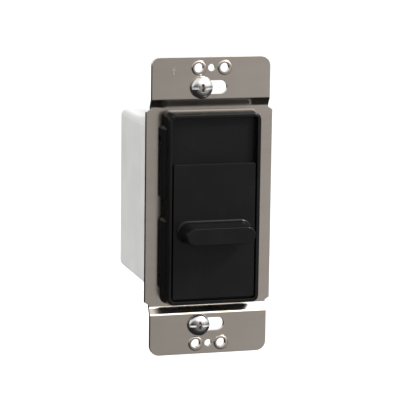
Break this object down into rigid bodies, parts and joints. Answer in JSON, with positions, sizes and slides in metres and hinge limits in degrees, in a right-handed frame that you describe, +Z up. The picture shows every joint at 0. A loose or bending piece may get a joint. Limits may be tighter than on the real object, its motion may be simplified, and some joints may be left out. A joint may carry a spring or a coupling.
{
  "type": "dimmer slide switch",
  "caption": "Wall dimmer with a steel mounting strap, black decorator frame, sliding plate with a bar handle, captive mounting screws and a light grey rear housing.",
  "frame": {"origin": "middle of the strap, in the plane of the front faces of its two ears", "axes": "+X to the right as seen from the front, +Z up, +Y back into the wall; the handle faces -Y"},
  "size_m": [0.0452, 0.0577, 0.1042],
  "materials": {
    "strap_steel": "brushed lengthwise",
    "plated_screw": "bright plated",
    "black_plastic": "satin",
    "slider_plastic": "satin",
    "grey_plastic": "satin",
    "acetal": "satin",
    "spring_steel": "rolled",
    "phenolic": "moulded",
    "zinc_plate": "zinc plated",
    "board": "solder mask",
    "epoxy": "moulded",
    "mica": "sheet",
    "iron_powder": "painted core",
    "enamelled_copper": "enamelled",
    "film_box": "moulded",
    "resistor_body": "lacquered",
    "diac_glass": "glass bead",
    "ceramic_disc": "dipped",
    "blue_disc": "dipped",
    "terminal_brass": "stamped",
    "green_screw": "dyed plating",
    "fibre": "fibre board"
  },
  "bodies": {
    "chassis": {"strap": "strap_steel", "front_frame": "black_plastic", "fader_body": "phenolic", "fader_cover": "zinc_plate", "circuit_board": "board", "switch_body": "epoxy", "triac": "epoxy", "triac_pad": "mica", "triac_screw": "plated_screw", "choke_core": "iron_powder", "choke_winding": "enamelled_copper", "film_capacitor": "film_box", "power_resistor": "resistor_body", "diac": "diac_glass", "trigger_capacitor": "ceramic_disc", "varistor": "blue_disc", "rear_housing": "grey_plastic", "housing_screw_1": "plated_screw", "housing_screw_2": "plated_screw", "housing_screw_3": "plated_screw", "housing_screw_4": "plated_screw", "terminal_contact_1": "terminal_brass", "terminal_contact_2": "terminal_brass", "terminal_contact_3": "terminal_brass", "terminal_clamp_1": "zinc_plate", "terminal_clamp_2": "zinc_plate", "terminal_clamp_3": "zinc_plate", "ground_tab": "zinc_plate", "ground_rivet": "zinc_plate"},
    "slider": {"slider_plate": "slider_plastic", "slide_carriage": "acetal", "carriage_screw": "plated_screw", "friction_spring": "spring_steel", "fader_lever": "acetal"},
    "switch_arm": {"switch_lever": "spring_steel"},
    "upper_retainer": {"screw_retainer_upper": "fibre"},
    "upper_screw": {"mounting_screw_upper": "plated_screw"},
    "lower_retainer": {"screw_retainer_lower": "fibre"},
    "lower_screw": {"mounting_screw_lower": "plated_screw"},
    "line_screw": {"terminal_screw_1": "terminal_brass"},
    "load_screw": {"terminal_screw_2": "terminal_brass"},
    "traveller_screw": {"terminal_screw_3": "terminal_brass"},
    "earth_screw": {"ground_screw": "green_screw"}
  },
  "joints": [
    {"name": "slider_slide", "type": "slide", "parent": "chassis", "child": "slider", "axis": [0, 0, 1], "range_m": [0, 0.0152]},
    {"name": "switch_arm_tilt", "type": "hinge", "parent": "chassis", "child": "switch_arm", "pos_m": [0.0058, 0.0054, 0.005], "axis": [1, 0, 0], "range_deg": [0, 8.5]},
    {"name": "upper_screw_slide", "type": "slide", "parent": "chassis", "child": "upper_retainer", "axis": [1, 0, 0], "range_m": [0, 0.0073]},
    {"name": "upper_screw_turn", "type": "hinge", "parent": "upper_retainer", "child": "upper_screw", "pos_m": [-0.00365, -0.0003, 0.04167], "axis": [0, 1, 0], "continuous": true},
    {"name": "lower_screw_slide", "type": "slide", "parent": "chassis", "child": "lower_retainer", "axis": [1, 0, 0], "range_m": [0, 0.0073]},
    {"name": "lower_screw_turn", "type": "hinge", "parent": "lower_retainer", "child": "lower_screw", "pos_m": [-0.00365, -0.0003, -0.04167], "axis": [0, 1, 0], "continuous": true},
    {"name": "line_screw_turn", "type": "hinge", "parent": "chassis", "child": "line_screw", "pos_m": [0.02, 0.0275, 0.015], "axis": [1, 0, 0], "continuous": true},
    {"name": "load_screw_turn", "type": "hinge", "parent": "chassis", "child": "load_screw", "pos_m": [0.02, 0.0275, 0.0005], "axis": [1, 0, 0], "continuous": true},
    {"name": "traveller_screw_turn", "type": "hinge", "parent": "chassis", "child": "traveller_screw", "pos_m": [0.02, 0.0275, -0.014], "axis": [1, 0, 0], "continuous": true},
    {"name": "earth_screw_turn", "type": "hinge", "parent": "chassis", "child": "earth_screw", "pos_m": [0, 0.0086, -0.0346], "axis": [0, 0, 1], "continuous": true}
  ],
  "couplings": [
    {"joint": "switch_arm_tilt", "follows": "slider_slide", "rad_per_m": 8.8889}
  ]
}
